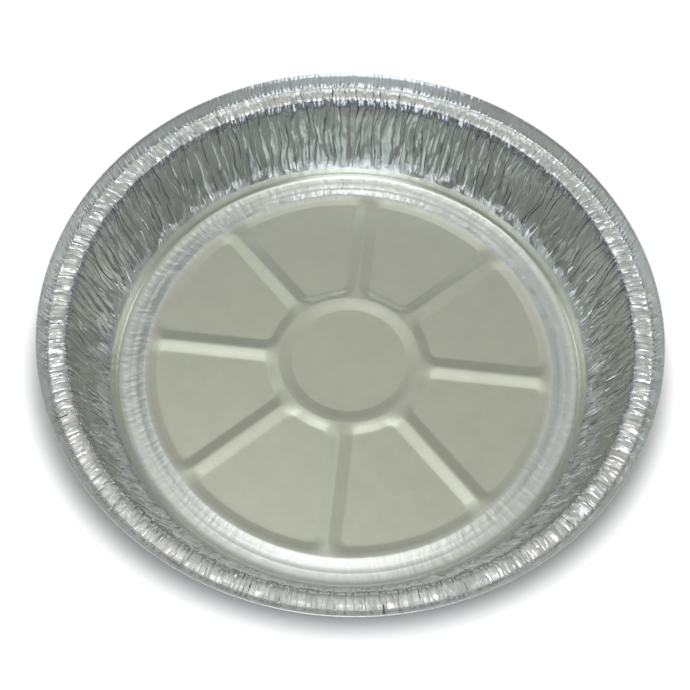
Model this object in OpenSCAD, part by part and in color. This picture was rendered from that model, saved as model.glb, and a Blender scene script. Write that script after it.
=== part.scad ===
// Round pie tin pressed from one sheet of thin aluminium foil.
// The sheet is flat and ribbed underneath, leans out in a pleated wall, turns level in a
// crinkled ledge, stands up again as a short flange, and ends in a hemmed top edge.
// The tin stands on its foot ring. The origin is the middle of the tin, on the table.

/* [Foil] */
// Thickness of the sheet
foil_t = 0.1; // [0.08:0.01:0.2]

/* [Base] */
// Outer radius of the foot ring, where the wall starts
foot_r = 93.4; // [80:0.1:110]
// Width of the flat foot ring that stands on the table
foot_ring_w = 5.2; // [3:0.1:8]
// Width of the ridge's slope towards the foot ring
ridge_outer_w = 5.3; // [3:0.1:8]
// Width of the ridge's slope towards the wedge panels
ridge_inner_w = 4.6; // [3:0.1:8]
// Height of the panels above the foot ring
panel_lift = 0.5; // [0:0.1:1.5]
// Height of the ridge, the centre ring and the spokes above the panels
rib_h = 1.2; // [0.6:0.1:2]

/* [Centre] */
// Radius of the round panel in the middle
disc_r = 23.4; // [20:0.1:32]
// Width of the centre ring's slope towards the round panel
hub_inner_w = 5.4; // [3:0.1:8]
// Width of the centre ring's slope towards the wedge panels
hub_outer_w = 4.7; // [3:0.1:8]

/* [Spokes] */
// Number of spokes, with a wedge panel between each two
spokes = 8; // [5:1:9]
// Width of a spoke across both its slopes
spoke_w = 10; // [6:0.1:12]
// Turn of the first spoke from the +X axis
spoke_turn = -4.2; // [-20:0.1:20]
// Radius of the wedge panels' corners
corner_r = 2.6; // [1:0.1:4]

/* [Wall] */
// Height of the smooth band above the foot
band_h = 5.2; // [3:0.1:8]
// Outward lean of the smooth band over its height
band_run = 2; // [0.5:0.1:4]
// Height of the pleated wall above the band
wall_h = 34.2; // [15:0.1:60]
// Outward lean of the pleated wall over its height
wall_run = 10; // [4:0.1:20]
// Height over which the pleats grow to their full depth
pleat_rise = 7; // [3:0.1:12]

/* [Rim] */
// Radius of the rolled edge between the wall and the ledge
roll_r = 1.4; // [0.6:0.1:2.5]
// Width of the ledge from the wall to the flange
ledge_w = 6.4; // [4:0.1:12]
// Rise of the ledge towards the flange
ledge_rise = 0.5; // [0:0.1:1.5]
// Height of the flange above the ledge
flange_h = 5.8; // [3:0.1:12]
// Outward lean of the flange over its height
flange_run = 2.3; // [0.5:0.1:5]
// Width of the hem that stands out from the flange's top edge
hem_w = 0.7; // [0.4:0.05:1.5]
// Height of the hem
hem_h = 1.2; // [0.8:0.05:2.5]

/* [Pleats] */
// Number of pleats round the rim
pleats = 144; // [90:1:145]
// Depth of the pleats in the wall, to each side of it
wall_pleat = 0.22; // [0.05:0.01:0.4]
// Depth of the crinkles in the ledge
ledge_pleat = 0.3; // [0.05:0.01:0.4]
// Depth of the crinkles in the flange
flange_pleat = 0.2; // [0.05:0.01:0.4]
// Waviness of the hem
hem_wave = 0.1; // [0:0.01:0.2]

/* [Hidden] */

// Places of the base's rings
foot_in_r = foot_r - foot_ring_w;
ridge_r = foot_in_r - ridge_outer_w;
wedge_out_r = ridge_r - ridge_inner_w;
hub_r = disc_r + hub_inner_w;
wedge_in_r = hub_r + hub_outer_w;
foot_z = foil_t;
panel_z = foot_z + panel_lift;
rib_z = panel_z + rib_h;

// Lines that run out from the middle: nine to each spoke and its wedge panel
sector_lines = 9;
base_lines = spokes * sector_lines;
line_step = 360 / base_lines;
sector_angle = 360 / spokes;
// Where a corner's arc is cut, as a share of its radius, and the space past its end
corner_cut = 0.3;
corner_gap = 0.6;

// Half the width of a spoke at radius r, which flares round the wedge panels' corners
function corner_depth(r) = max(0, wedge_in_r + corner_r - r, r - (wedge_out_r - corner_r));
function spoke_half(r) =
    let (d = min(corner_depth(r), corner_r))
    spoke_w / 2 + corner_r - sqrt(corner_r * corner_r - d * d);

// Angle from the spoke's middle of a line that keeps the distance d from it at radius r
function side_angle(d, r) = asin(min(0.99, d / r));

// Angles of one sector's lines at radius r: the spoke's crest, its foot, the corner's end,
// the lines across the panel, and then the next corner and foot
function rib_angle(q, r) =
    let (foot_a = side_angle(spoke_half(r), r),
         corner_a = side_angle(spoke_w / 2 + corner_r + corner_gap, r),
         panel_a = (sector_angle - 2 * corner_a) / 5)
    q == 0 ? 0 :
    q == 1 ? foot_a :
    q == 8 ? sector_angle - foot_a :
    corner_a + (q - 2) * panel_a;

// Angle of a base line on a ring, which follows the spokes by the share given
function base_angle(i, ring) =
    let (q = i % sector_lines, sector = floor(i / sector_lines), even = q * line_step)
    spoke_turn + sector * sector_angle
        + even + ring[3] * (rib_angle(q, max(ring[0], wedge_in_r)) - even);

// The base's rings from the middle out: radius, height at the panels, height at the
// spokes' crests, and how closely the lines follow the spokes
base_rings = [
    [disc_r, panel_z, panel_z, 0],
    [hub_r, rib_z, rib_z, 0.5],
    [wedge_in_r, panel_z, rib_z, 1],
    [wedge_in_r + corner_cut * corner_r, panel_z, rib_z, 1],
    [wedge_in_r + corner_r, panel_z, rib_z, 1],
    [wedge_out_r - corner_r, panel_z, rib_z, 1],
    [wedge_out_r - corner_cut * corner_r, panel_z, rib_z, 1],
    [wedge_out_r, panel_z, rib_z, 1],
    [ridge_r, rib_z, rib_z, 0.7],
    [foot_in_r, foot_z, foot_z, 0.3],
    [foot_r, foot_z, foot_z, 0]
];

// The wall and rim in section, from the foot up: radius, height and depth of the pleats
wall_in_r = foot_r + band_run;
wall_foot_z = foot_z + band_h;
ledge_r = wall_in_r + wall_run;
ledge_z = wall_foot_z + wall_h;
flange_r = ledge_r + ledge_w;
flange_z = ledge_z + ledge_rise;
top_r = flange_r + flange_run;
top_z = flange_z + flange_h;
pleat_share = pleat_rise / wall_h;
roll_share = roll_r / wall_h;
hem_share = 1 - hem_h / flange_h;
rim_rings = [
    [wall_in_r, wall_foot_z, 0],
    [wall_in_r + pleat_share * wall_run, wall_foot_z + pleat_rise, wall_pleat],
    [ledge_r - roll_share * wall_run, ledge_z - roll_r, wall_pleat],
    [ledge_r + roll_r, ledge_z + ledge_rise * roll_r / ledge_w, ledge_pleat],
    [flange_r, flange_z, flange_pleat],
    [flange_r + hem_share * flange_run, flange_z + hem_share * flange_h, flange_pleat],
    [top_r, top_z, hem_wave]
];
// The hem stands out from the flange: its widest ring and its top ring
hem_rings = [
    [top_r + hem_w, top_z - hem_h / 2, hem_wave],
    [top_r + hem_w / 2, top_z, hem_wave]
];

// The pleats: each is a fold out and a fold in, of uneven width and depth
rim_lines = 2 * pleats;
fold_spread = 0.28;
fold_turn = 131.7;
depth_least = 0.62;
depth_turn = 77.3;
ring_turn = 38;
function rim_angle(j) =
    spoke_turn + (j + fold_spread * sin((j % rim_lines) * fold_turn)) * 360 / rim_lines;
function fold_depth(j, k) =
    (j % 2 == 0 ? 1 : -1)
        * (depth_least + (1 - depth_least) * sin(j * depth_turn + k * ring_turn));

// Direction across the sheet where two stretches of the section meet, from the inside out,
// long enough to keep the sheet's thickness round the bend
function across(a, b) =
    let (d = [b[0] - a[0], b[1] - a[1]]) [d[1], -d[0]] / norm(d);
function mitre(a, b, c) =
    let (n = across(a, b), m = across(b, c)) (n + m) / (1 + n * m);
section = concat([[foot_in_r, foot_z], [foot_r, foot_z]], rim_rings);
function ring_across(k) =
    k == len(section) - 1 ? across(section[k - 1], section[k])
                          : mitre(section[k - 1], section[k], section[k + 1]);

// A point of the sheet at distance t from its inner skin
function base_point(i, k, t) =
    let (ring = base_rings[k],
         last = k == len(base_rings) - 1,
         off = t * (last ? ring_across(1) : [0, -1]),
         a = base_angle(i, ring),
         r = ring[0] + off[0],
         z = (i % sector_lines == 0 ? ring[2] : ring[1]) + off[1])
    [r * cos(a), r * sin(a), z];
function rim_point(j, k, t) =
    let (ring = rim_rings[k],
         off = (t + ring[2] * fold_depth(j, k)) * ring_across(k + 2),
         a = rim_angle(j),
         r = ring[0] + off[0])
    [r * cos(a), r * sin(a), ring[1] + off[1]];
function hem_point(j, k) =
    let (ring = hem_rings[k],
         a = rim_angle(j),
         r = ring[0] + ring[2] * fold_depth(j, len(rim_rings) - 1))
    [r * cos(a), r * sin(a), ring[1]];

// Points of one skin: the middle, the base's rings and the rim's rings
function skin(t, rim_count) = concat(
    [[0, 0, panel_z - t]],
    [for (k = [0 : len(base_rings) - 1]) for (i = [0 : base_lines - 1]) base_point(i, k, t)],
    [for (k = [0 : rim_count - 1]) for (j = [0 : rim_lines - 1]) rim_point(j, k, t)]
);
inner_skin = skin(0, len(rim_rings));
outer_skin = skin(foil_t, len(rim_rings) - 1);
hem_skin = [for (k = [0, 1]) for (j = [0 : rim_lines - 1]) hem_point(j, k)];
outer_start = len(inner_skin);
hem_start = outer_start + len(outer_skin);

// Numbers of the points within a skin
function base_at(k, i) = 1 + k * base_lines + i % base_lines;
function rim_at(k, j) = 1 + len(base_rings) * base_lines + k * rim_lines + j % rim_lines;
function hem_at(k, j) = hem_start + k * rim_lines + j % rim_lines;

// Two triangles between two lines and two rings, cut along the shorter diagonal
function halves(a, b, c, d) =
    norm(inner_skin[a] - inner_skin[c]) <= norm(inner_skin[b] - inner_skin[d])
        ? [[a, b, c], [a, c, d]]
        : [[a, b, d], [b, c, d]];

// Triangles between the last base ring and the first rim ring, which has more points:
// each step takes the next point of the ring that is behind
function behind(s) =
    s[1] >= rim_lines
        || (s[0] < base_lines
            && (s[0] + 1) * line_step <= (s[1] + 1) * 360 / rim_lines);
function next_step(s) = behind(s) ? [s[0] + 1, s[1]] : [s[0], s[1] + 1];
last_base = len(base_rings) - 1;
seam_faces = [
    for (s = [0, 0]; s[0] < base_lines || s[1] < rim_lines; s = next_step(s))
        behind(s)
            ? [base_at(last_base, s[0]), base_at(last_base, s[0] + 1), rim_at(0, s[1])]
            : [base_at(last_base, s[0]), rim_at(0, s[1] + 1), rim_at(0, s[1])]
];

// Faces of one skin, seen from inside the tin
function skin_faces(rim_count) = concat(
    [for (i = [0 : base_lines - 1]) [0, base_at(0, i + 1), base_at(0, i)]],
    [for (k = [0 : last_base - 1]) for (i = [0 : base_lines - 1])
        each halves(base_at(k, i), base_at(k, i + 1), base_at(k + 1, i + 1), base_at(k + 1, i))],
    seam_faces,
    [for (k = [0 : rim_count - 2]) for (j = [0 : rim_lines - 1])
        each halves(rim_at(k, j), rim_at(k, j + 1), rim_at(k + 1, j + 1), rim_at(k + 1, j))]
);
function turned(face, start) = [for (p = [len(face) - 1 : -1 : 0]) face[p] + start];

// Faces of the hem, from the outer skin's last ring round to the inner skin's top ring
last_rim = len(rim_rings) - 1;
function strip(a, b, c, d) = [[a, d, c], [a, c, b]];
hem_faces = [
    for (j = [0 : rim_lines - 1]) each concat(
        strip(outer_start + rim_at(last_rim - 1, j), outer_start + rim_at(last_rim - 1, j + 1),
              hem_at(0, j + 1), hem_at(0, j)),
        strip(hem_at(0, j), hem_at(0, j + 1), hem_at(1, j + 1), hem_at(1, j)),
        strip(hem_at(1, j), hem_at(1, j + 1), rim_at(last_rim, j + 1), rim_at(last_rim, j))
    )
];

module foil_pan() {
    color("silver")
    polyhedron(
        points = concat(inner_skin, outer_skin, hem_skin),
        faces = concat(
            skin_faces(len(rim_rings)),
            [for (face = skin_faces(len(rim_rings) - 1)) turned(face, outer_start)],
            hem_faces
        ),
        convexity = 6
    );
}

foil_pan();
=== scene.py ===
# %% [markdown]
# # A foil pie tin
# The real tin is one disc of thin aluminium sheet, pressed in a single stroke. The press gives
# it three kinds of surface: smooth ribbed metal underneath, where the sheet only bends, a wall
# full of fine upright folds, where the sheet has to gather, and a rim of short sharp crinkles.
# This script models that one sheet, gives it a metal finish, and sets up a plain pale studio.

# %% Load the frame
import math
import random

import bmesh
import bpy
from mathutils import Matrix, Vector, noise


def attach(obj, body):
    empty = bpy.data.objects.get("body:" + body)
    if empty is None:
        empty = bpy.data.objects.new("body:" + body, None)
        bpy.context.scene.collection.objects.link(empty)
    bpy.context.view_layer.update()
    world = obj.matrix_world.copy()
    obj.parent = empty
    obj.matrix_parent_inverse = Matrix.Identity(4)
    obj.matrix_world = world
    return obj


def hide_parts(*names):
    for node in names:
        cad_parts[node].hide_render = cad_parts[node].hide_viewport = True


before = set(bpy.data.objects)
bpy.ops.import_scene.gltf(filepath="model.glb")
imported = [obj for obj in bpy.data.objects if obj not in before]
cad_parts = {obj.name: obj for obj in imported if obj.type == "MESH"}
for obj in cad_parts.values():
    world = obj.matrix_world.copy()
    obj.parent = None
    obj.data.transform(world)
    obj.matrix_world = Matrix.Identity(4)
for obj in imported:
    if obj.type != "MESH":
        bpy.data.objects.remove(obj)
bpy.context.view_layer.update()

# %% [markdown]
# ## Sizes
# All lengths are in metres, so millimetres are written as a number times MM. The sheet is drawn
# by its inner skin, which is the side that shows, and gets its thickness at the end. The foot
# ring's inner skin therefore lies one thickness above the table.

# %% Sizes of the base
MM = 0.001
FOIL = 0.1 * MM
DISC_R = 23.4 * MM
HUB_R = 28.8 * MM
WEDGE_IN_R = 33.5 * MM
WEDGE_OUT_R = 78.3 * MM
RIDGE_R = 82.9 * MM
FOOT_IN_R = 88.2 * MM
FOOT_R = 93.4 * MM
FOOT_CORNER_R = 94.4 * MM
PANEL_LIFT = 0.5 * MM
RIB_H = 1.2 * MM
SPOKES = 8
SPOKE_HALF = 5 * MM
SPOKE_TURN = math.radians(-4.2)
CORNER_R = 2.6 * MM
SECTOR = 2 * math.pi / SPOKES
print("foot in mm across:", round(2 * FOOT_R / MM, 1), "with", SPOKES, "spokes")

# %% [markdown]
# The wall and rim are given by the corners of their section, from the smooth band above the
# foot to the end of the hem. A section is enough, because every point of it goes round a circle.

# %% Corners of the wall and rim
BAND_TOP = Vector((95.4 * MM, 0, 5.3 * MM))
LEDGE_EDGE = Vector((105.4 * MM, 0, 39.5 * MM))
CREASE = Vector((111.75 * MM, 0, 39.6 * MM))
RIM_TOP = Vector((114.0 * MM, 0, 45.7 * MM))
HEM_TOP = Vector((114.3 * MM, 0, 45.72 * MM))
HEM_END = Vector((114.4 * MM, 0, 44.8 * MM))
print("rim in mm across:", round(2 * HEM_END.x / MM, 1), "high:", round(HEM_TOP.z / MM, 1))

# %% [markdown]
# ## The ribbed base
# The base could be a flat disc with a height map, but a rib that runs between the grid's lines
# comes out ragged. So the disc is spun from a row of points whose radii bracket every bend, and
# its lines are then drawn in towards the spokes, to run along each spoke's crest and feet.

# %% Rings of the base
LINES_PER_SECTOR = 30
BASE_LINES = SPOKES * LINES_PER_SECTOR
EDGE = 0.4 * MM
PANEL_RINGS, WEDGE_RINGS = 3, 9
CORNER_STEPS = [1.2 * MM, 2 * MM, 2.9 * MM, 4.5 * MM]


def bracket(radius):
    """Three rings that hold the small round of a bend."""
    return [radius - EDGE, radius, radius + EDGE]


def spread(start, end, count=1):
    """Rings evenly spaced between two radii, without the two."""
    return [start + (end - start) * i / (count + 1) for i in range(1, count + 1)]


base_radii = [
    0, *spread(0, DISC_R - EDGE, PANEL_RINGS), *bracket(DISC_R),
    *spread(DISC_R + EDGE, HUB_R - EDGE), *bracket(HUB_R),
    *spread(HUB_R + EDGE, WEDGE_IN_R - EDGE), *bracket(WEDGE_IN_R),
    *[WEDGE_IN_R + step for step in CORNER_STEPS],
    *spread(WEDGE_IN_R + CORNER_STEPS[-1], WEDGE_OUT_R - CORNER_STEPS[-1], WEDGE_RINGS),
    *[WEDGE_OUT_R - step for step in reversed(CORNER_STEPS)], *bracket(WEDGE_OUT_R),
    *spread(WEDGE_OUT_R + EDGE, RIDGE_R - EDGE), *bracket(RIDGE_R),
    *spread(RIDGE_R + EDGE, FOOT_IN_R - EDGE), *bracket(FOOT_IN_R),
]
print("rings in the base:", len(base_radii))

# %% [markdown]
# A press never leaves a sharp corner in sheet metal. The corners of the section could be drawn
# as arcs point by point, but a vertex bevel rounds a corner of an open row of edges in one step.

# %% A row of edges with rounded corners
SAME_POINT = 0.001 * MM


def add_row(bm, points):
    """Vertices joined by edges, in order."""
    verts = [bm.verts.new(p) for p in points]
    for a, b in zip(verts, verts[1:]):
        bm.edges.new((a, b))
    return verts


def round_corner(bm, vert, radius, segments):
    """Replaces a corner of an open row of edges by an arc."""
    bmesh.ops.bevel(bm, geom=[vert], offset=radius, offset_type="OFFSET", segments=segments,
                    profile=0.5, affect="VERTICES", material=-1)


def spin_round(bm, lines):
    """Turns everything in the mesh once round the Z axis and closes the seam and the middle."""
    bmesh.ops.spin(bm, geom=bm.verts[:] + bm.edges[:], cent=(0, 0, 0), axis=(0, 0, 1),
                   dvec=(0, 0, 0), angle=2 * math.pi, steps=lines, use_merge=True)
    bmesh.ops.remove_doubles(bm, verts=bm.verts, dist=SAME_POINT)


# %% [markdown]
# The foot corner and the smooth band above it belong to the same calm part of the sheet as the
# base, so their section is added to the row of points before the spin.

# %% Spin the base
BAND_ROUND, FOOT_ROUND = 0.5 * MM, 3.8 * MM
FOOT_ROUND_STEPS = 7
base = bmesh.new()
foot_corner = Vector((FOOT_CORNER_R, 0, FOIL))
band_way = (BAND_TOP - foot_corner).normalized()
band_end = BAND_TOP - band_way * BAND_ROUND
base_row = add_row(base, [Vector((r, 0, FOIL)) for r in base_radii] + [foot_corner, band_end])
round_corner(base, base_row[-2], FOOT_ROUND, FOOT_ROUND_STEPS)
spin_round(base, BASE_LINES)
print("base:", len(base.verts), "vertices,", len(base.faces), "faces")

# %% [markdown]
# Each line of the base now turns a little about the middle, so that the lines crowd together
# over the spokes and spread out over the panels. Inside the round panel and outside the ridge
# they stay evenly spaced, which is what the finer lines of the wall will be joined to.

# %% Draw the lines in to the spokes
SPOKE_LINES = [0, 0.4, 0.8, 2.8, 4.6, 5.0, 5.4]
LAST_SPOKE_LINE = len(SPOKE_LINES) - 1
HALF_LINES = LINES_PER_SECTOR // 2
PANEL_EASE = 1.35
TINY_TURN = 1e-6


def line_angle(number, radius):
    """Angle from the spoke's middle of the line with this number, up to half a sector."""
    if number <= LAST_SPOKE_LINE:
        return math.asin(SPOKE_LINES[number] * MM / radius)
    foot = math.asin(SPOKE_LINES[-1] * MM / radius)
    share = (number - LAST_SPOKE_LINE) / (HALF_LINES - LAST_SPOKE_LINE)
    return foot + (SECTOR / 2 - foot) * share ** PANEL_EASE


def follow(radius):
    """How closely the lines follow the spokes at this radius, from 0 to 1."""
    rising = (radius - DISC_R) / (WEDGE_IN_R - DISC_R)
    falling = (FOOT_IN_R - radius) / (FOOT_IN_R - WEDGE_OUT_R)
    return max(0, min(1, rising, falling))


def bunch(angle, radius):
    """New angle of a base vertex."""
    sector = math.floor(angle / SECTOR + TINY_TURN)
    number = round((angle - sector * SECTOR) / SECTOR * LINES_PER_SECTOR)
    near = min(number, LINES_PER_SECTOR - number)
    side = 1 if number <= HALF_LINES else -1
    start = sector * SECTOR if side > 0 else (sector + 1) * SECTOR
    followed = start + side * line_angle(near, radius)
    return angle + (followed - angle) * follow(radius)


turned_lines = [v for v in base.verts if v.co.xy.length > DISC_R + EDGE / 2]
for vert in turned_lines:
    radius = vert.co.xy.length
    angle = bunch(math.atan2(vert.co.y, vert.co.x) % (2 * math.pi), radius)
    vert.co.x = radius * math.cos(angle + SPOKE_TURN)
    vert.co.y = radius * math.sin(angle + SPOKE_TURN)
print("base vertices turned:", len(turned_lines))

# %% [markdown]
# The ribs stiffen the thin sheet. Their relief could be modelled rib by rib, but then each
# crossing would need its own joint. Here it is worked out from distances: how far a point lies
# outside the nearest panel, as a share of the slope's width, gives its height on the slope. A
# ramp with rounded ends turns that share into a height, and where slopes meet at a crest the
# lower one wins.

# %% Relief of the ribs
BLEND = 0.08


def soften(t):
    """Zero below zero and t above it, with a small curve between."""
    if t < -BLEND:
        return 0
    return t if t > BLEND else (t + BLEND) ** 2 / (4 * BLEND)


def ramp(t):
    """A slope from 0 to 1 with rounded ends."""
    return (soften(t) - soften(t - 1 + BLEND)) / (1 - BLEND)


def outside_wedge(radius, angle):
    """Distance outside the nearest wedge panel, as a share of a slope's width."""
    turn = (angle - SPOKE_TURN) % SECTOR
    side = radius * math.sin(min(turn, SECTOR - turn))
    across = (SPOKE_HALF - side) / SPOKE_HALF
    inward = (WEDGE_IN_R - radius) / (WEDGE_IN_R - HUB_R)
    outward = (radius - WEDGE_OUT_R) / (RIDGE_R - WEDGE_OUT_R)
    corner = CORNER_R / SPOKE_HALF
    return math.hypot(max(across + corner, 0), max(inward + corner, outward + corner, 0)) - corner


def relief(radius, angle):
    """Height of the pressed base above the foot ring."""
    from_disc = (radius - DISC_R) / (HUB_R - DISC_R)
    from_foot = (FOOT_IN_R - radius) / (FOOT_IN_R - RIDGE_R)
    panel_side = PANEL_LIFT + RIB_H * min(ramp(from_disc), ramp(outside_wedge(radius, angle)))
    return min(panel_side, (PANEL_LIFT + RIB_H) * ramp(from_foot))


# %% [markdown]
# So thin a sheet is never quite flat. A very low, slow noise makes the panels swell, which bends
# their reflections a little, and the foot ring falls gently outwards to where it stands.

# %% Press the ribs
SWELL, SWELL_SIZE = 0.05 * MM, 22 * MM
RING_FALL = 0.1
RING_END_R = 90.7 * MM
for vert in base.verts:
    radius = vert.co.xy.length
    if radius < FOOT_R - EDGE:
        vert.co.z += relief(radius, math.atan2(vert.co.y, vert.co.x))
        if radius < FOOT_IN_R:
            vert.co.z += SWELL * noise.noise(vert.co / SWELL_SIZE)
        elif radius < RING_END_R:
            vert.co.z += RING_FALL * (RING_END_R - radius)
ridge_top = max(v.co.z for v in base.verts if v.co.xy.length < FOOT_IN_R)
print("highest point of the ribs in mm:", round(ridge_top / MM, 2))

# %% [markdown]
# ## The wall, ledge and flange
# The rest of the sheet is spun the same way with five times as many lines, because its folds
# are only a millimetre or two across. Its straight stretches are divided first, so that the
# folds can change their shape on the way up.

# %% Section of the wall and rim
LINES_PER_BASE_LINE = 5
RIM_LINES = LINES_PER_BASE_LINE * BASE_LINES
WALL_TOP_ROUND, CREASE_ROUND, HEM_ROUND = 0.9 * MM, 0.9 * MM, 0.13 * MM
FIRST_ROWS = 1.3, 2.8
WALL_CUTS, LEDGE_CUTS, FLANGE_CUTS = 8, 3, 2


def divide(bm, start, end, cuts):
    """Divides the row's edge that lies on the way from one point to the other."""
    way = end - start
    middle = (start + end) / 2
    edges = [e for e in bm.edges if ((e.verts[0].co + e.verts[1].co) / 2 - middle).length
             < way.length / 4 and e.calc_length() > way.length / 2]
    bmesh.ops.subdivide_edges(bm, edges=edges, cuts=cuts)


rim = bmesh.new()
wall_way = (LEDGE_EDGE - BAND_TOP).normalized()
fold_rows = [BAND_TOP + wall_way * step * MM for step in FIRST_ROWS]
corners = [band_end, BAND_TOP, *fold_rows, LEDGE_EDGE, CREASE, RIM_TOP, HEM_TOP, HEM_END]
rim_row = add_row(rim, corners)
round_corner(rim, rim_row[corners.index(BAND_TOP)], BAND_ROUND, segments=2)
round_corner(rim, rim_row[corners.index(LEDGE_EDGE)], WALL_TOP_ROUND, segments=3)
round_corner(rim, rim_row[corners.index(CREASE)], CREASE_ROUND, segments=2)
round_corner(rim, rim_row[corners.index(RIM_TOP)], HEM_ROUND, segments=1)
round_corner(rim, rim_row[corners.index(HEM_TOP)], HEM_ROUND, segments=1)
divide(rim, fold_rows[-1], LEDGE_EDGE, WALL_CUTS)
divide(rim, LEDGE_EDGE, CREASE, LEDGE_CUTS)
divide(rim, CREASE, RIM_TOP, FLANGE_CUTS)
print("points in the section:", len(rim.verts))

# %% [markdown]
# Later steps need to know how far up the sheet a vertex lies, also round bends, where its height
# doesn't tell. The path length from the band up could be worked out again for each vertex, but
# it is simpler to store it on the row before the spin, which copies it round.

# %% Measure the way up and spin the rim
along_layer = rim.verts.layers.float.new("along")
rim.verts.ensure_lookup_table()
here = min(rim.verts, key=lambda v: (v.co - band_end).length)
walked, passed = 0.0, set()
while here is not None:
    passed.add(here)
    here[along_layer] = walked
    ways = [e for e in here.link_edges if e.other_vert(here) not in passed]
    if ways:
        walked += ways[0].calc_length()
    here = ways[0].other_vert(here) if ways else None
print("section above the band in mm:", round(walked / MM, 2))
spin_round(rim, RIM_LINES)
print("rim:", len(rim.verts), "vertices,", len(rim.faces), "faces")

# %% [markdown]
# ## Join the two
# On the real tin there is no seam here. The base's outer edge is divided so that it has as many
# points as the wall's lower edge, and the new points are pushed out from their chords on to the
# circle. Merging doubles then makes one sheet of the two.

# %% Join the base and the rim
SEAM_GAP = 0.02 * MM
outer_edge = [e for e in base.edges if e.is_boundary]
bmesh.ops.subdivide_edges(base, edges=outer_edge, cuts=LINES_PER_BASE_LINE - 1)
for vert in base.verts:
    if vert.is_boundary:
        vert.co.xy = vert.co.xy.normalized() * band_end.x
spoke_turn = Matrix.Rotation(SPOKE_TURN, 3, "Z")
for vert in rim.verts:
    vert.co = spoke_turn @ vert.co
rim_mesh = bpy.data.meshes.new("rim")
rim.to_mesh(rim_mesh)
rim.free()
sheet = base
sheet.verts.layers.float.new("along")
sheet.from_mesh(rim_mesh)
bpy.data.meshes.remove(rim_mesh)
bmesh.ops.remove_doubles(sheet, verts=sheet.verts, dist=SEAM_GAP)
print("open edges:", sum(e.is_boundary for e in sheet.edges), "=", RIM_LINES, "round the hem")

# %% [markdown]
# The side of a face decides which way a fold is pushed and on which side the thickness grows.
# So all faces are made to agree, and the face in the middle of the base tells whether they look
# up into the tin, as they should.

# %% Turn the faces into the tin
bmesh.ops.recalc_face_normals(sheet, faces=sheet.faces)
sheet.faces.ensure_lookup_table()
middle_face = min(sheet.faces, key=lambda f: f.calc_center_median().length)
if middle_face.normal.z < 0:
    bmesh.ops.reverse_faces(sheet, faces=sheet.faces)
print("the base's middle looks up:", middle_face.normal.z > 0)

# %% [markdown]
# ## Folds and crinkles
# Where the wall gathers, the sheet folds like a paper cup: narrow grooves with flat or slightly
# domed facets between them, never a smooth wave. Moving only the heights of evenly spaced lines
# gives a regular fluting. So three lines are used for each fold, one in its groove and one at
# each shoulder, and they are also moved sideways. Tables of uneven values, one row of them for
# every few millimetres up the sheet, make the folds lean, taper, fade and return.

# %% Tables of uneven folds
LINES_PER_FOLD = 3
FOLDS = RIM_LINES // LINES_PER_FOLD
FOLD_PITCH = 2 * math.pi / FOLDS
LEVEL = 4.5 * MM
LEVELS = 13
SEED = 8
EARLIEST_START, LATEST_START = 0.3, 3.5
dice = random.Random(SEED)


def table(low, high):
    """One uneven value for each fold at each level up the sheet."""
    return [[dice.uniform(low, high) for _ in range(FOLDS)] for _ in range(LEVELS)]


def look_up(rows, fold, along):
    """The table's value part of the way between two levels."""
    level = min(LEVELS - 2, int(along / LEVEL))
    share = along / LEVEL - level
    return rows[level][fold] * (1 - share) + rows[level + 1][fold] * share


sway = table(-1, 1)
groove_width = table(0.7, 1.3)
groove_depth = table(0.35, 1)
left_shoulder = table(-0.7, 1)
right_shoulder = table(-0.7, 1)
vigour = table(0.2, 1.7)
fold_start = [dice.uniform(EARLIEST_START, LATEST_START) * MM for _ in range(FOLDS)]
print("folds round the rim:", FOLDS, "each", round(FOLD_PITCH * LEDGE_EDGE.x / MM, 2), "mm")

# %% [markdown]
# Not all folds are equal. Every second or third one is pressed deep, and the sheet between two
# deep ones stands up as a low dome that the slight folds only score. The deep folds of the wall
# and of the ledge are drawn by lot on their own.

# %% Choose the deep folds
WALL_GAPS, LEDGE_GAPS = (1, 2, 2, 2, 3), (1, 1, 1, 2, 2, 3)
DOME_POWER = 0.6
DOME_LOW, DOME_GAIN = 0.6, 0.2


def deep_folds(gaps):
    """Numbers of the deep folds, with gaps drawn from a list."""
    numbers, fold = [0], dice.choice(gaps)
    while fold < FOLDS:
        numbers.append(fold)
        fold += dice.choice(gaps)
    return numbers


def domes(deep):
    """For each line of the rim, how high the flat-topped dome between two grooves stands there."""
    heights = [0.0] * RIM_LINES
    for first, last in zip(deep, deep[1:] + [deep[0] + FOLDS]):
        count = (last - first) * LINES_PER_FOLD
        top = DOME_LOW + DOME_GAIN * count / LINES_PER_FOLD
        for step in range(1, count):
            line = (first * LINES_PER_FOLD + 1 + step) % RIM_LINES
            heights[line] = math.sin(math.pi * step / count) ** DOME_POWER * top
    return heights


wall_deep, ledge_deep = deep_folds(WALL_GAPS), deep_folds(LEDGE_GAPS)
wall_dome, ledge_dome = domes(wall_deep), domes(ledge_deep)
wall_deep, ledge_deep = set(wall_deep), set(ledge_deep)
print("deep folds in the wall:", len(wall_deep), "in the ledge:", len(ledge_deep))

# %% [markdown]
# The wall, ledge, flange and hem each fold in their own way, and the sheet passes from one to
# the next without a step. A share from 0 to 1 for each of them could switch at the bend, but an
# ease over a millimetre or two on the way up looks pressed. Each range below says where one
# kind of folding gives way to the next.

# %% Where the wall, ledge and flange begin
WALL_LENGTH = (LEDGE_EDGE - BAND_TOP).length + BAND_ROUND
LEDGE_END = WALL_LENGTH + (CREASE - LEDGE_EDGE).length
FLANGE_END = LEDGE_END + (RIM_TOP - CREASE).length
LEDGE_BEND = WALL_LENGTH - 2 * MM, WALL_LENGTH
FLANGE_BEND = LEDGE_END - 0.4 * MM, LEDGE_END + 0.8 * MM
HEM_BEND = FLANGE_END - 1 * MM, FLANGE_END


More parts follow.
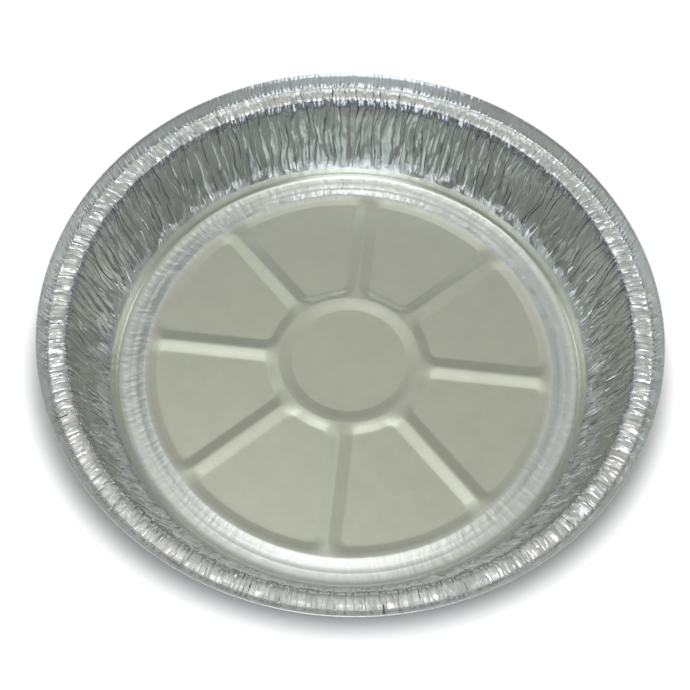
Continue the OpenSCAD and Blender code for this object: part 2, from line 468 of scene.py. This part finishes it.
def ease(value, low, high):
    """0 below low, 1 above high, and a smooth step between."""
    t = max(0, min(1, (value - low) / (high - low)))
    return t * t * (3 - 2 * t)


print("ledge and flange begin in mm:", round(WALL_LENGTH / MM, 1), round(LEDGE_END / MM, 1))

# %% [markdown]
# A fold is first of all a depth: how far its groove is pressed back and its shoulders stand up,
# square to the sheet. The wall's deep folds vary in vigour, and the flange and hem are nearly
# smooth, because they are rolled flat after the pressing.

# %% Depth of the folds
WALL_DEPTH, LEDGE_DEPTH, FLANGE_DEPTH, HEM_DEPTH = 0.3 * MM, 0.65 * MM, 0.08 * MM, 0.03 * MM
WALL_SLIGHT, LEDGE_SLIGHT = 0.4, 0.35
SHOULDER = 0.5
FOLD_GROWTH = 4 * MM


def line_height(fold, part, along):
    """Height of a line from -1 in a full groove up to its shoulder, before the depth."""
    if part == 0:
        return -look_up(groove_depth, fold, along)
    return SHOULDER * look_up(left_shoulder if part < 0 else right_shoulder, fold, along)


def fold_depth(fold, along):
    """How deep this fold is pressed at this place up the sheet."""
    strength = look_up(vigour, fold, along) if fold in wall_deep else WALL_SLIGHT
    on_ledge = LEDGE_DEPTH * (1 if fold in ledge_deep else LEDGE_SLIGHT)
    depth = WALL_DEPTH * strength
    depth += (on_ledge - depth) * ease(along, *LEDGE_BEND)
    depth += (FLANGE_DEPTH - depth) * ease(along, *FLANGE_BEND)
    return depth + (HEM_DEPTH - depth) * ease(along, *HEM_BEND)


middles = [fold_depth(fold, WALL_LENGTH / 2) for fold in range(FOLDS)]
print("deepest fold half way up in mm:", round(max(middles) / MM, 2))

# %% [markdown]
# Between the deep folds the sheet stands up in low domes, and over several folds it swells and
# sinks. The domes follow the folds that were drawn by lot. The swellings come from a smooth
# noise, read round the sheet and up it, so that they cross the folds freely.

# %% Domes and swellings
WALL_DOME, LEDGE_DOME = 0.38 * MM, 0.58 * MM
WALL_BULGE = {"size": 1.3 * MM, "width": 4.5 * MM, "tall": 10 * MM}
LEDGE_BULGE = {"size": 0.22 * MM, "width": 2.6 * MM, "tall": 4 * MM}
SWELLING_BEGINS, SWELLING_FADES = (0.5 * MM, 5 * MM), (8 * MM, 24 * MM)


def bulge(vert, along, size, width, tall):
    """Smooth uneven value round the sheet and up it, for swellings and for leaning folds."""
    around = vert.co.xy.normalized() * (LEDGE_EDGE.x / width)
    return size * noise.noise((around.x, around.y, along / tall))


def dome_height(line, fold, along):
    """How far the sheet stands up here as part of a dome."""
    on_ledge = ease(along, *LEDGE_BEND)
    across_ledge = max(0, min(1, (along - WALL_LENGTH) / (LEDGE_END - WALL_LENGTH)))
    dome = WALL_DOME * wall_dome[line] * look_up(vigour, fold, along) * (1 - on_ledge)
    return dome + LEDGE_DOME * ledge_dome[line] * on_ledge * math.sin(math.pi * across_ledge)


def swelling(vert, along):
    """How far the sheet swells here, over several folds."""
    wall_swell = bulge(vert, along, **WALL_BULGE) * ease(along, *SWELLING_BEGINS)
    ledge_swell = bulge(vert, along, **LEDGE_BULGE) * ease(along, *LEDGE_BEND)
    wall_swell *= 1 - ease(along, *SWELLING_FADES)
    ledge_swell *= 1 - ease(along, *FLANGE_BEND)
    return wall_swell + ledge_swell


print("dome heights drawn, highest:", round(max(wall_dome), 2), round(max(ledge_dome), 2))

# %% [markdown]
# Real folds don't run straight up. Each line is also turned about the middle: to set the width
# of its groove, to lean a little by itself, and to drift along with its neighbours, so that the
# folds bend together like grass.

# %% Sideways shift of the lines
GROOVE_HALF, LEAN = 0.2, 0.28
SHIFT_BEGINS, DRIFT_BEGINS = (0.3 * MM, 3 * MM), (0, 6 * MM)
DRIFT = {"size": 2.2 * MM, "width": 7 * MM, "tall": 14 * MM}
DRIFT_PLACE = 100 * MM
LEDGE_CALM = 0.7


def line_turn(vert, fold, part, along):
    """Angle by which a line of a fold is moved sideways."""
    half_width = GROOVE_HALF * look_up(groove_width, fold, along)
    shift = LEAN * look_up(sway, fold, along) + part * (half_width - 1 / LINES_PER_FOLD)
    shift *= ease(along, *SHIFT_BEGINS)
    drift = bulge(vert, along + DRIFT_PLACE, **DRIFT) / LEDGE_EDGE.x
    held = 1 - LEDGE_CALM * ease(along, *LEDGE_BEND)
    return shift * FOLD_PITCH + drift * ease(along, *DRIFT_BEGINS) * held


print("a groove is this share of its fold:", 2 * GROOVE_HALF)

# %% [markdown]
# All moves are worked out on the plain sheet first and made afterwards, so that no move depends
# on another. Two values are stored for the finish: how crinkled each point is, and its place on
# the unfolded sheet, so that the finest creases follow the metal and not the room.

# %% Press the folds
WALL_CRINKLE, LEDGE_CRINKLE = 1.2, 0.7
along_layer = sheet.verts.layers.float["along"]
crinkle_layer = sheet.verts.layers.float.new("crinkle")
place_layer = sheet.verts.layers.float_vector.new("sheet_place")


def find_line(vert):
    """Number of the rim's line that a vertex lies on."""
    angle = (math.atan2(vert.co.y, vert.co.x) - SPOKE_TURN) % (2 * math.pi)
    return round(angle / (2 * math.pi) * RIM_LINES) % RIM_LINES


def fold_move(vert, along):
    """The turn and the push that press one vertex into its fold."""
    line = find_line(vert)
    fold, part = line // LINES_PER_FOLD, line % LINES_PER_FOLD - 1
    begun = ease(along, fold_start[fold], fold_start[fold] + FOLD_GROWTH)
    height = line_height(fold, part, along) * fold_depth(fold, along)
    push = (height + dome_height(line, fold, along)) * begun + swelling(vert, along)
    fade = (LEDGE_CRINKLE - WALL_CRINKLE) * ease(along, *LEDGE_BEND)
    vert[crinkle_layer] = begun * (WALL_CRINKLE + fade)
    return vert, line_turn(vert, fold, part, along), vert.normal * push


sheet.normal_update()
for vert in sheet.verts:
    along = vert[along_layer]
    height_up = along if along > 0 else vert.co.xy.length - FOOT_R
    vert[place_layer] = (*(vert.co.xy.normalized() * LEDGE_EDGE.x), height_up)
moves = [fold_move(v, v[along_layer]) for v in sheet.verts if v[along_layer] > 0]
for vert, turn, move in moves:
    vert.co = Matrix.Rotation(turn, 3, "Z") @ (vert.co + move)
print("vertices in the folds:", len(moves))

# %% [markdown]
# ## The finish, written on the sheet
# The foil's look changes with how hard the press has worked it: satin panels, a puckered ring
# round the foot, a bright wall, duller bends. Separate materials would show hard borders. So the
# finish is written on the vertices as values that the one material will read: how rough each
# point is, its tint, which also carries painted shade and painted highlight, and how puckered it
# is. First come the borders of each zone.

# %% Zones of the finish
RING_STARTS = RIDGE_R - 2 * MM, RIDGE_R + 1 * MM
RING_STOPS = 92 * MM, 94 * MM
WALL_STARTS = 0, 2 * MM
LEDGE_STARTS = WALL_LENGTH - 1 * MM, WALL_LENGTH
FLANGE_STARTS = LEDGE_END, LEDGE_END + 1 * MM
HEM_STARTS = FLANGE_END - 0.2 * MM, FLANGE_END + 0.2 * MM
BEND_REACH = 0.5 * MM, 1.3 * MM


def in_ring(radius):
    """1 in the ring from the ridge to the foot, and 0 away from it."""
    return ease(radius, *RING_STARTS) * (1 - ease(radius, *RING_STOPS))


def on_bend(along):
    """1 along the ledge's two edges, and 0 away from them."""
    return 1 - ease(min(abs(along - WALL_LENGTH), abs(along - LEDGE_END)), *BEND_REACH)


print("share of the ring's finish at its middle:", in_ring((RIDGE_R + FOOT_R) / 2))

# %% [markdown]
# The hard-pressed wall is the shiniest part. The panels and the flange blur what they mirror.
# The tight bends at the ledge's edges are blurred too, because a mirror so narrow would break up
# into glittering dots. The puckers are strongest on one side of the ring, as on the real tin.

# %% Roughness and puckers
PANEL_ROUGH, RING_ROUGH, WALL_ROUGH, FLANGE_ROUGH, BEND_ROUGH = 0.3, 0.33, 0.17, 0.3, 0.3
PUCKER_SIDE = math.radians(125)
PUCKER_LEAST, PUCKER_GAIN, FLANGE_PUCKER = 0.4, 0.6, 0.35
PUCKER_SIDES = -0.2, 0.5


def roughness(radius, along):
    """Roughness of the foil at this place."""
    calm = PANEL_ROUGH + (RING_ROUGH - PANEL_ROUGH) * in_ring(radius)
    folded = WALL_ROUGH + (FLANGE_ROUGH - WALL_ROUGH) * ease(along, *FLANGE_STARTS)
    folded += (BEND_ROUGH - folded) * on_bend(along)
    return calm + (folded - calm) * ease(along, *WALL_STARTS)


def puckered(vert, radius, along):
    """How strongly the foil is puckered at this place."""
    angle = math.atan2(vert.co.y, vert.co.x)
    on_side = ease(math.cos(angle - PUCKER_SIDE), *PUCKER_SIDES)
    in_foot = in_ring(radius) * (PUCKER_LEAST + PUCKER_GAIN * on_side)
    return in_foot + FLANGE_PUCKER * ease(along, *FLANGE_STARTS)


print("roughness in the middle:", round(roughness(0, 0), 3))

# %% [markdown]
# All the tin is one metal. The tint of each zone paints light and shade on it: painted shade
# darkens the wall, where the fine folds trap light, the ledge's two bends and the hem, which
# mirrors the shadowed paper. Painted highlight brightens the foot ring and the ledge, and a
# painted warm reflection gives the panels their yellow cast. The tints run into each other over a
# millimetre or two.

# %% Tints with painted light and shade
# Painted shade on the wall, bends and hem; painted highlight on ring and ledge; painted warm
# reflection on the panels.
PANEL_TINT_WITH_WARM_REFLECTION, RING_PAINTED_HIGHLIGHT_TINT = Vector((0.784, 0.8, 0.7)), Vector((0.95, 0.97, 0.96))
WALL_PAINTED_SHADE_TINT, LEDGE_PAINTED_HIGHLIGHT_TINT = Vector((0.56, 0.575, 0.59)), Vector((0.96, 0.975, 0.975))
FLANGE_TINT, HEM_PAINTED_SHADE_TINT = Vector((0.9, 0.92, 0.92)), Vector((0.42, 0.43, 0.43))
BEND_PAINTED_SHADE = 0.12


def tint(radius, along):
    """Colour of the foil at this place, with painted shade and painted highlight in it."""
    rim_tint_with_painted_light = WALL_PAINTED_SHADE_TINT.lerp(LEDGE_PAINTED_HIGHLIGHT_TINT, ease(along, *LEDGE_STARTS))
    rim_tint_with_painted_light = rim_tint_with_painted_light.lerp(FLANGE_TINT, ease(along, *FLANGE_STARTS))
    # Painted shade along the ledge's two bends.
    rim_tint_with_painted_light *= 1 - BEND_PAINTED_SHADE * on_bend(along)
    # Painted shade on the hem, which mirrors the shadowed paper.
    rim_tint_with_painted_light = rim_tint_with_painted_light.lerp(HEM_PAINTED_SHADE_TINT, ease(along, *HEM_STARTS))
    return PANEL_TINT_WITH_WARM_REFLECTION.lerp(RING_PAINTED_HIGHLIGHT_TINT, in_ring(radius)).lerp(rim_tint_with_painted_light, ease(along, *WALL_STARTS))


rough_layer = sheet.verts.layers.float.new("rough")
pucker_layer = sheet.verts.layers.float.new("pucker")
tint_and_painted_light_layer = sheet.verts.layers.float_color.new("tint")
for vert in sheet.verts:
    radius, along = vert.co.xy.length, vert[along_layer]
    vert[rough_layer] = roughness(radius, along)
    vert[pucker_layer] = puckered(vert, radius, along)
    vert[tint_and_painted_light_layer] = (*tint(radius, along), 1)
print("values on the sheet:", sheet.verts.layers.float.keys(), sheet.verts.layers.float_color.keys())

# %% [markdown]
# ## Thickness
# The sheet is thickened away from the side that shows. Its normals point into the tin, and the
# solidify operator grows the new skin against them, so the new skin is the outside. Smooth
# shading would blur the tightest folds into dark smears, so the edges where the sheet turns
# sharply are marked, but only those that run up the folds.

# %% Give the sheet its thickness
SHARP = math.radians(42)
SHARP_FROM = 1.5 * MM
LEAST_RISE = 0.02 * MM


def is_crease(edge):
    """Whether an edge runs up a fold and turns sharply."""
    low_along, high_along = sorted(v[along_layer] for v in edge.verts)
    runs_up = low_along > SHARP_FROM and high_along - low_along > LEAST_RISE
    return len(edge.link_faces) == 2 and runs_up and edge.calc_face_angle() > SHARP


bmesh.ops.solidify(sheet, geom=sheet.faces[:], thickness=FOIL)
for face in sheet.faces:
    face.smooth = True
creases = [e for e in sheet.edges if is_crease(e)]
for edge in creases:
    edge.smooth = False
print("sharp creases:", len(creases))

# %% [markdown]
# The finished sheet becomes one object. It rides on the part's only body, stands in for the
# plain solid, and carries the slot of the material that it is made of.

# %% Make the tin
tin_mesh = bpy.data.meshes.new("foil_tin")
sheet.to_mesh(tin_mesh)
sheet.free()
tin = bpy.data.objects.new("foil_tin", tin_mesh)
bpy.context.scene.collection.objects.link(tin)
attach(tin, "root")
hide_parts("foil_pan")
print("tin:", sum(len(p.vertices) - 2 for p in tin_mesh.polygons), "triangles")

# %% [markdown]
# ## The foil's material
# Foil is rolled metal: a mirror, slightly blurred. It could be shown by an image of foil, but an
# image stretches over the folds. A metallic Principled shader, fed by the values on the sheet
# and by procedural patterns, stays sharp at any size. A few helpers keep its nodes short.

# %% Helpers for nodes
MIX_A, MIX_B, MIX_RESULT = 6, 7, 2


def wire(owner, source, target):
    """Joins an output socket to an input socket of a material or world."""
    owner.node_tree.links.new(source, target)


def make_node(owner, kind, **values):
    """A node with its inputs set by name."""
    node = owner.node_tree.nodes.new(kind)
    for name, value in values.items():
        node.inputs[name.replace("_", " ")].default_value = value
    return node


def calculate(owner, operation, *terms):
    """Result of a Math node. Each term is a number or an output socket."""
    node = make_node(owner, "ShaderNodeMath")
    node.operation = operation
    for place, term in enumerate(terms):
        if isinstance(term, (int, float)):
            node.inputs[place].default_value = term
        else:
            wire(owner, term, node.inputs[place])
    return node.outputs["Value"]


def read_attribute(material, name, output="Fac"):
    """The output of an Attribute node for a value stored on the mesh."""
    node = make_node(material, "ShaderNodeAttribute")
    node.attribute_name = name
    return node.outputs[output]


# %% [markdown]
# Handled foil is never evenly bright: it has soft, cloudy patches. One slow noise makes them.
# It is added to the roughness and also scales the tint a little, so that dull patches are pale
# in the same places.

# %% Cloudy colour and roughness
CLOUD_SCALE, CLOUD_DETAIL, CLOUD_FINENESS = 90, 5, 0.75
CLOUD_ROUGH = 0.06
CLOUD_SHADE = 1.6


def noise_pattern(material, place, scale, detail, fineness):
    """A noise from 0 to 1, read at this place."""
    pattern = make_node(material, "ShaderNodeTexNoise", Scale=scale, Detail=detail,
                        Roughness=fineness)
    wire(material, place, pattern.inputs["Vector"])
    return pattern.outputs["Fac"]


def make_clouds(material, place):
    """Soft patches, from minus to plus the most that they add to the roughness."""
    clouds = noise_pattern(material, place, CLOUD_SCALE, CLOUD_DETAIL, CLOUD_FINENESS)
    spread_out = make_node(material, "ShaderNodeMapRange", To_Min=-CLOUD_ROUGH,
                           To_Max=CLOUD_ROUGH)
    wire(material, clouds, spread_out.inputs["Value"])
    return spread_out.outputs["Result"]


def wire_colour(material, shader, clouds):
    """The sheet's tint, with its painted light and shade, a little paler and darker in patches."""
    colour = make_node(material, "ShaderNodeMix", Factor=1)
    colour.data_type, colour.blend_type = "RGBA", "MULTIPLY"
    wire(material, read_attribute(material, "tint", "Color"), colour.inputs[MIX_A])
    shade = calculate(material, "MULTIPLY_ADD", clouds, CLOUD_SHADE, 1)
    wire(material, shade, colour.inputs[MIX_B])
    wire(material, colour.outputs[MIX_RESULT], shader.inputs["Base Color"])


def wire_roughness(material, shader, clouds):
    """The sheet's own roughness, uneven in patches."""
    rough = calculate(material, "ADD", read_attribute(material, "rough"), clouds)
    wire(material, rough, shader.inputs["Roughness"])


# %% [markdown]
# The folds are in the mesh, but the creases between them are finer than its lines. These are
# bumps: an even rolling grain, puckers round the foot, and on the wall streaks and small facets,
# stretched along the folds. The last three are read from the place on the unfolded sheet.

# %% Relief too fine for the mesh
STREAK_STRETCH, PUCKER_STRETCH = (1, 1, 0.16), (1, 1, 0.45)
GRAIN_NOISE, GRAIN_DEPTH = (700, 1, 0.6), 0.02 * MM
PUCKER_NOISE, PUCKER_DEPTH = (340, 1, 0.5), 0.5 * MM
STREAK_NOISE, STREAK_DEPTH = (620, 2, 0.6), 0.32 * MM
FACET_SCALE, FACET_DEPTH = 560, 0.18 * MM


def stretched_place(material, stretch):
    """Place on the unfolded sheet, stretched along the folds."""
    mapping = make_node(material, "ShaderNodeMapping", Scale=stretch)
    wire(material, read_attribute(material, "sheet_place", "Vector"), mapping.inputs["Vector"])
    return mapping.outputs["Vector"]


def make_facets(material, place):
    """Small flat facets with creases between them."""
    facets = make_node(material, "ShaderNodeTexVoronoi")
    facets.feature = "DISTANCE_TO_EDGE"
    facets.inputs["Scale"].default_value = FACET_SCALE
    wire(material, place, facets.inputs["Vector"])
    return facets.outputs["Distance"]


def add_bump(material, height, mask, depth, under=None):
    """A bump of this depth where the mask is 1, laid over another bump's normal."""
    bump = make_node(material, "ShaderNodeBump", Strength=1, Distance=depth)
    wire(material, calculate(material, "MULTIPLY", height, mask), bump.inputs["Height"])
    if under is not None:
        wire(material, under, bump.inputs["Normal"])
    return bump.outputs["Normal"]


def wire_relief(material, shader, place):
    """Grain, puckers, streaks and facets, each laid over the one before."""
    along_folds = stretched_place(material, STREAK_STRETCH)
    round_foot = stretched_place(material, PUCKER_STRETCH)
    crinkle, pucker = read_attribute(material, "crinkle"), read_attribute(material, "pucker")
    grain = noise_pattern(material, place, *GRAIN_NOISE)
    puckers = noise_pattern(material, round_foot, *PUCKER_NOISE)
    streaks = noise_pattern(material, along_folds, *STREAK_NOISE)
    normal = add_bump(material, grain, 1, GRAIN_DEPTH)
    normal = add_bump(material, puckers, pucker, PUCKER_DEPTH, normal)
    normal = add_bump(material, streaks, crinkle, STREAK_DEPTH, normal)
    normal = add_bump(material, make_facets(material, along_folds), crinkle, FACET_DEPTH, normal)
    wire(material, normal, shader.inputs["Normal"])


# %% [markdown]
# Now the material is put together. It is fully metallic, so all of its colour is in what it
# mirrors, and the tint says how much of that comes back, with painted shade and highlight in it.

# %% Foil material
def make_foil():
    """Rolled aluminium: satin, with fine folds on the wall and puckers round the foot."""
    material = bpy.data.materials.new("rolled_foil")
    material.use_nodes = True
    shader = material.node_tree.nodes["Principled BSDF"]
    shader.inputs["Metallic"].default_value = 1
    place = make_node(material, "ShaderNodeTexCoord").outputs["Object"]
    clouds = make_clouds(material, place)
    wire_colour(material, shader, clouds)
    wire_roughness(material, shader, clouds)
    wire_relief(material, shader, place)
    return material


foil = make_foil()
tin_mesh.materials.append(foil)
print("foil material:", len(foil.node_tree.nodes), "nodes")

# %% [markdown]
# ## The studio
# The tin is seen on white paper, which also lights it from below by what the foil mirrors. Very
# bright paper would need stronger lamps, and they would burn out the foil. So the paper glows a
# little, but only to the eye and to mirrors, and not in an oval round the tin. That oval is a
# painted shadow: it leaves the paper darker there, on top of the tin's real shadow.

# %% Floor material
FLOOR_GREY, FLOOR_ROUGH, FLOOR_GLOW = 0.5, 0.9, 0.8
MIRRORED_GLOW = 0.35
# The oval's stretch, place and soft edge shape a painted shadow round the tin, where the paper gets
# no glow.
SHADOW_OVAL_STRETCH, SHADOW_OVAL_PLACE = (0.9, 1, 1), (0, -8 * MM, 0)
GLOW_STARTS, GLOW_FULL = 110 * MM, 123 * MM


def glow_outside_painted_shadow(material):
    """0 in the oval of painted shadow round the tin, up to the full glow outside it."""
    place = make_node(material, "ShaderNodeTexCoord").outputs["Object"]
    oval = make_node(material, "ShaderNodeMapping", Scale=SHADOW_OVAL_STRETCH, Location=SHADOW_OVAL_PLACE)
    wire(material, place, oval.inputs["Vector"])
    distance = make_node(material, "ShaderNodeVectorMath")
    distance.operation = "LENGTH"
    wire(material, oval.outputs["Vector"], distance.inputs[0])
    glow = make_node(material, "ShaderNodeMapRange", From_Min=GLOW_STARTS, From_Max=GLOW_FULL,
                     To_Max=FLOOR_GLOW)
    glow.interpolation_type = "SMOOTHSTEP"
    wire(material, distance.outputs["Value"], glow.inputs["Value"])
    return glow.outputs["Result"]


def make_floor_white():
    """White paper that glows a little to the eye and to the foil, except in a painted shadow close
    to the tin.
    """
    material = bpy.data.materials.new("floor_white")
    material.use_nodes = True
    shader = material.node_tree.nodes["Principled BSDF"]
    shader.inputs["Base Color"].default_value = (FLOOR_GREY, FLOOR_GREY, FLOOR_GREY, 1)
    shader.inputs["Roughness"].default_value = FLOOR_ROUGH
    shader.inputs["Specular IOR Level"].default_value = 0
    shader.inputs["Emission Color"].default_value = (1, 1, 1, 1)
    path = make_node(material, "ShaderNodeLightPath")
    seen = calculate(material, "MULTIPLY_ADD", path.outputs["Is Glossy Ray"], MIRRORED_GLOW,
                     path.outputs["Is Camera Ray"])
    amount = calculate(material, "MULTIPLY", seen, glow_outside_painted_shadow(material))
    wire(material, amount, shader.inputs["Emission Strength"])
    return material


# %% [markdown]
# The floor itself is one large square. It is marked as stage, because it isn't part of the tin.

# %% Floor
FLOOR_HALF = 3
floor_mesh = bpy.data.meshes.new("floor")
floor_bm = bmesh.new()
bmesh.ops.create_grid(floor_bm, x_segments=1, y_segments=1, size=FLOOR_HALF)
floor_bm.to_mesh(floor_mesh)
floor_bm.free()
floor = bpy.data.objects.new("floor", floor_mesh)
bpy.context.scene.collection.objects.link(floor)
floor_mesh.materials.append(make_floor_white())
print("floor in metres across:", 2 * FLOOR_HALF)

# %% [markdown]
# Metal shows its room more than its own colour. An even world would leave the foil flat and
# grey, and a photographed room would bring in things that aren't there. A ramp from the horizon
# to the point overhead gives the soft rise of light that a plain room has.

# %% Sky
SKY_LEVELS = {0: 0.14, 0.42: 0.22, 0.6: 0.3, 0.74: 0.41, 0.8: 0.45, 0.88: 0.43, 0.94: 0.47, 1: 0.61}
SKY_GREEN, SKY_BLUE = 1.02, 0.95
world = bpy.data.worlds.new("studio")
bpy.context.scene.world = world
world.use_nodes = True
direction = make_node(world, "ShaderNodeTexCoord")
parts = make_node(world, "ShaderNodeSeparateXYZ")
wire(world, direction.outputs["Generated"], parts.inputs["Vector"])
sky = make_node(world, "ShaderNodeValToRGB")
wire(world, parts.outputs["Z"], sky.inputs["Fac"])
wire(world, sky.outputs["Color"], world.node_tree.nodes["Background"].inputs["Color"])
sky.color_ramp.interpolation = "LINEAR"
stops = sky.color_ramp.elements
for place, level in SKY_LEVELS.items():
    stop = stops[0] if place == 0 else stops[-1] if place == 1 else stops.new(place)
    stop.position = place
    stop.color = (level, level * SKY_GREEN, level * SKY_BLUE, 1)
print("stops in the sky:", len(stops))

# %% [markdown]
# The real tin mirrors windows and lamps, which show as bright patches on the panels and as
# glints on the folds. Each is an area lamp that faces the tin. Its place is found by the mirror
# rule, from where its patch lies, so a lamp is given by its direction and not by a point. Its
# strength is written as radiance, which is the colour that a perfect mirror would show.

# %% Lamps
LAMP_DISTANCE = 1.5
LAMPS = [
    ("front_box", 270, 54, 0.55, 0.4, (3.2, 3.2, 3.4)),
    ("front_window", 270, 17, 1.2, 0.5, (1.35, 1.55, 1.72)),
    ("front_upper_window", 270, 33, 1.0, 0.35, (0.58, 0.66, 0.74)),
    ("top_front_box", 270, 70, 1.2, 0.8, (0.6, 0.61, 0.62)),
    ("top_left_box", 210, 68, 0.6, 0.6, (0.22, 0.22, 0.22)),
    ("top_right_box", 330, 68, 0.6, 0.6, (0.2, 0.19, 0.16)),
    ("top_back_left_box", 200, 77, 0.4, 0.4, (0.25, 0.25, 0.25)),
    ("back_left_box", 142, 57, 0.35, 0.35, (0.18, 0.2, 0.18)),
    ("left_box", 180, 50, 0.8, 0.7, (0.2, 0.24, 0.22)),
    ("left_lamp", 205, 50, 0.3, 0.3, (2.2, 2.25, 2.5)),
    ("right_lamp", 330, 48, 0.3, 0.3, (0.85, 0.9, 1.05)),
    ("top_back_box", 120, 72, 0.6, 0.5, (0.12, 0.12, 0.11)),
    ("back_box", 90, 12, 1.2, 0.6, (0.4, 0.4, 0.44)),
    ("right_window", 20, 22, 0.5, 0.4, (1.6, 1.65, 1.7)),
    ("left_window", 158, 22, 0.5, 0.4, (1.2, 1.25, 1.3)),
]


def softbox(name, azimuth, height_angle, width, tall, radiance):
    """A rectangular lamp that faces the tin, from this azimuth and height angle in degrees."""
    data = bpy.data.lights.new(name, "AREA")
    data.shape = "RECTANGLE"
    data.size, data.size_y = width, tall
    strongest = max(radiance)
    data.color = [channel / strongest for channel in radiance]
    data.energy = strongest * math.pi * width * tall
    lamp = bpy.data.objects.new(name, data)
    bpy.context.scene.collection.objects.link(lamp)
    turn, lift = math.radians(azimuth), math.radians(height_angle)
    flat = math.cos(lift) * LAMP_DISTANCE
    lamp.location = (flat * math.cos(turn), flat * math.sin(turn), math.sin(lift) * LAMP_DISTANCE)
    lamp.rotation_euler = (-lamp.location).to_track_quat("-Z", "Y").to_euler()


for lamp_row in LAMPS:
    softbox(*lamp_row)
print("lamps:", len(LAMPS))

# %% [markdown]
# ## The camera
# The photograph was taken from close by and from above, a little askew. Its lens, distance,
# angle and roll were found by fitting the circles of the tin to their outlines in the picture.
# The axes are set directly, because a Track To constraint would not keep the roll.

# %% Camera
FOCAL_PX = 950
PHOTO_PX = 690
SENSOR_MM = 36
CAMERA_DISTANCE = 392.6 * MM
CAMERA_HEIGHT_ANGLE = math.radians(61.11)
CAMERA_ROLL = math.radians(2.2)
LOOK_AT = Vector((-1.9 * MM, 6.9 * MM, 0))
camera_data = bpy.data.cameras.new("camera")
camera_data.sensor_width = SENSOR_MM
camera_data.lens = FOCAL_PX / PHOTO_PX * SENSOR_MM
camera = bpy.data.objects.new("camera", camera_data)
bpy.context.scene.collection.objects.link(camera)
bpy.context.scene.camera = camera
back = Vector((0, -math.cos(CAMERA_HEIGHT_ANGLE), math.sin(CAMERA_HEIGHT_ANGLE)))
right = Vector((1, 0, 0))
up = back.cross(right)
turned_right = right * math.cos(CAMERA_ROLL) + up * math.sin(CAMERA_ROLL)
turned_up = up * math.cos(CAMERA_ROLL) - right * math.sin(CAMERA_ROLL)
axes = Matrix((turned_right, turned_up, back)).transposed()
camera.matrix_world = Matrix.Translation(LOOK_AT + back * CAMERA_DISTANCE) @ axes.to_4x4()
print("camera at mm:", [round(v / MM, 1) for v in camera.matrix_world.translation])

# %% [markdown]
# ## The view transform
# The Standard view shows colours about as they are written.

# %% View transform
bpy.context.scene.view_settings.view_transform = "Standard"
